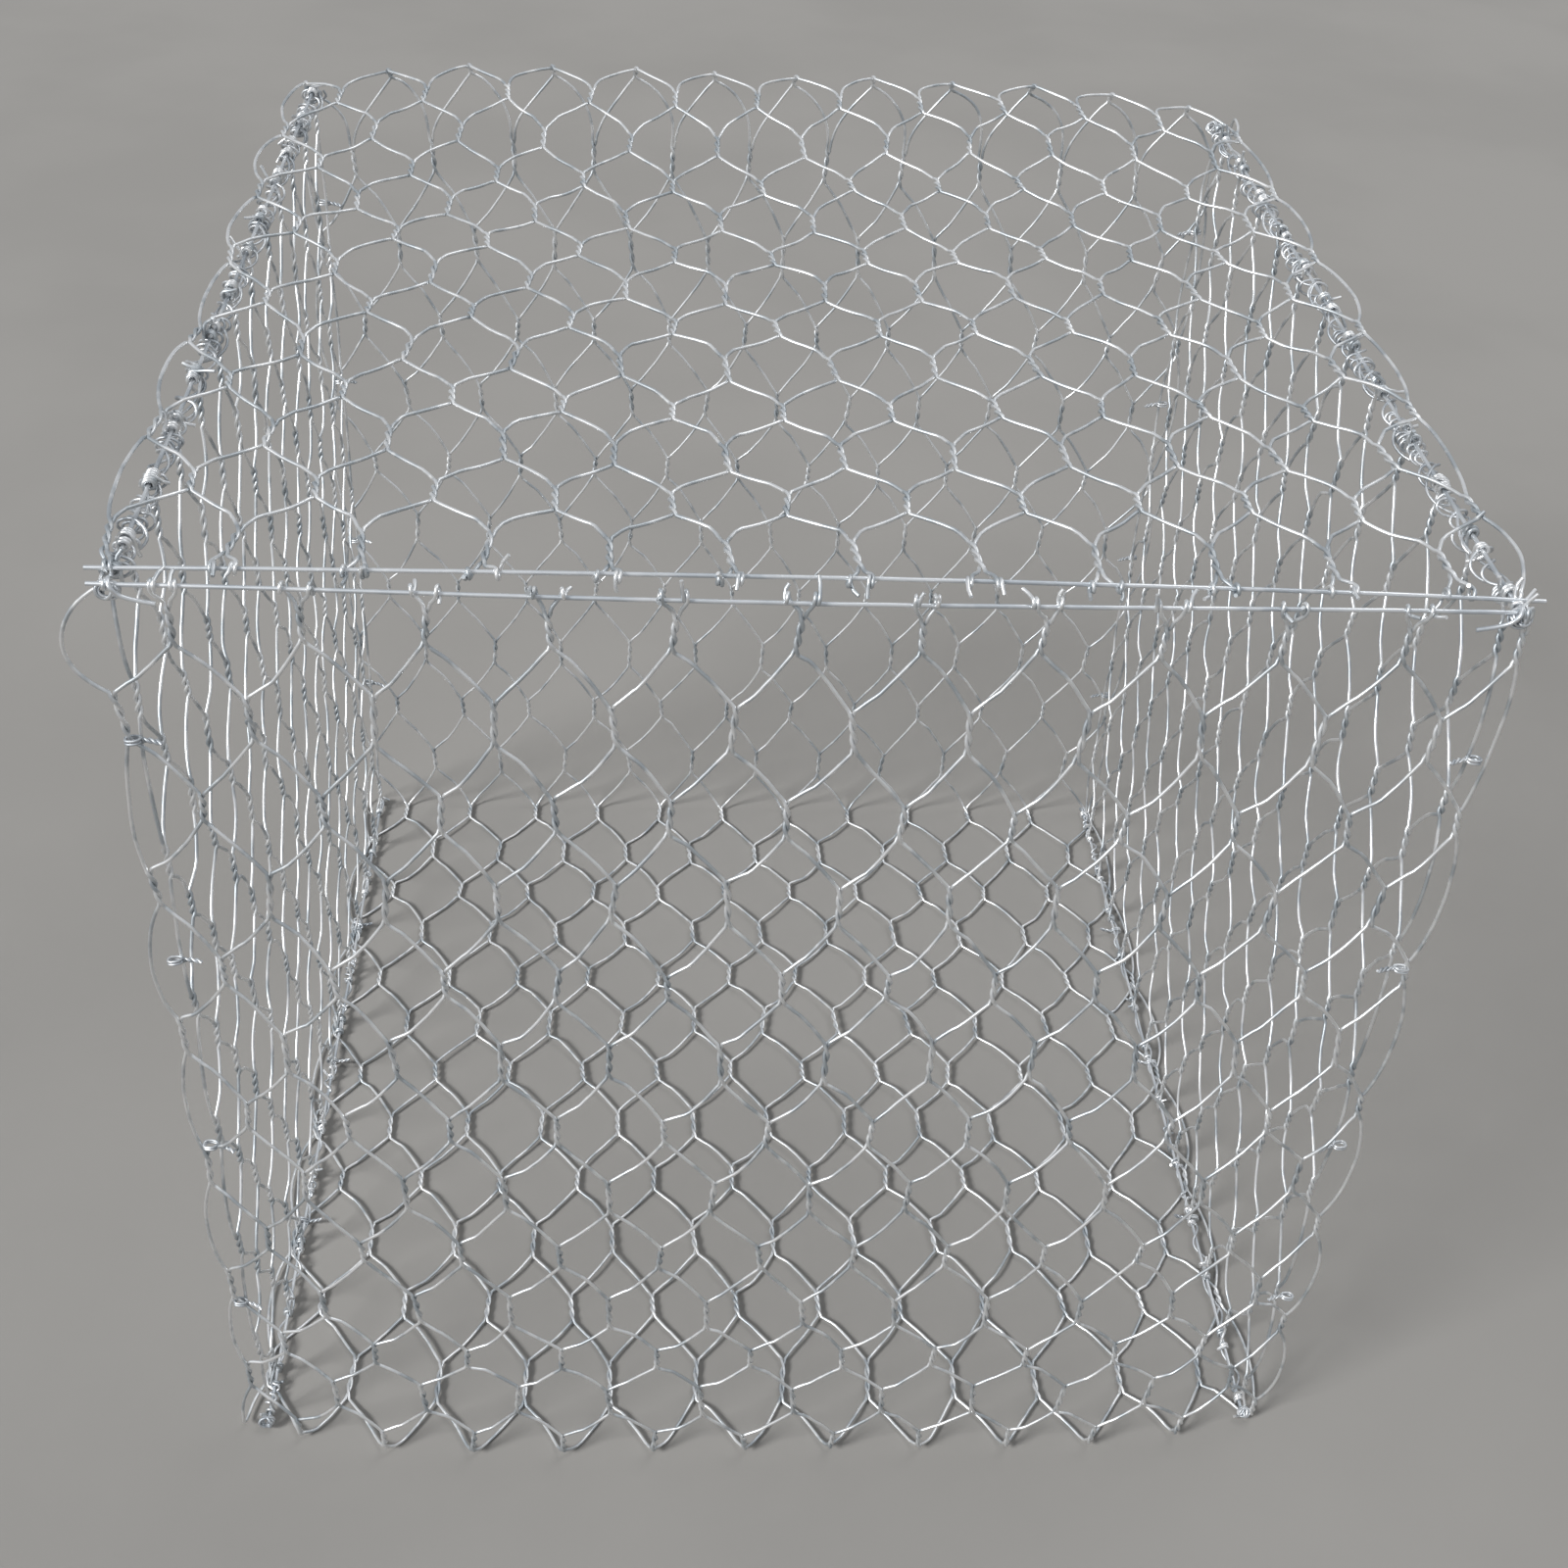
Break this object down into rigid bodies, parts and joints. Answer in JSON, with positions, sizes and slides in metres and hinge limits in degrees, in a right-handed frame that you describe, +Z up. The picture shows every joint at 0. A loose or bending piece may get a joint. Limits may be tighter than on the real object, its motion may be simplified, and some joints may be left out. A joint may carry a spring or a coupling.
{
  "type": "gabion basket",
  "caption": "Closed, empty wire cage of double-twisted hexagonal netting with heavier selvedge wires, tied corners and a lid that folds open at the back.",
  "frame": {"origin": "under the middle of the base, at the level of the lowest ties", "axes": "+Z up, +X to the right seen from the front, +Y from the front wall to the back wall, where the lid folds"},
  "size_m": [1.0866, 1.005, 1.0032],
  "materials": {
    "mesh_zinc": "bright hot-dip zinc on drawn steel wire, a little greyed",
    "selvedge_zinc": "bright zinc on heavier drawn steel wire",
    "tie_zinc": "zinc on soft tie wire, duller than the netting"
  },
  "bodies": {
    "basket": {"basket_mesh": "mesh_zinc", "left_end_mesh": "mesh_zinc", "right_end_mesh": "mesh_zinc", "front_selvedge": "selvedge_zinc", "left_end_top_selvedge": "selvedge_zinc", "left_end_bottom_selvedge": "selvedge_zinc", "right_end_top_selvedge": "selvedge_zinc", "right_end_bottom_selvedge": "selvedge_zinc", "front_left_ties": "tie_zinc", "front_right_ties": "tie_zinc", "back_left_ties": "tie_zinc", "back_right_ties": "tie_zinc", "base_left_ties": "tie_zinc", "base_right_ties": "tie_zinc"},
    "lid": {"lid_mesh": "mesh_zinc", "lid_selvedge": "selvedge_zinc"}
  },
  "joints": [
    {"name": "lid_hinge", "type": "hinge", "parent": "basket", "child": "lid", "pos_m": [0, 0.5, 1.0025], "axis": [-1, 0, 0], "range_deg": [0, 180]}
  ]
}
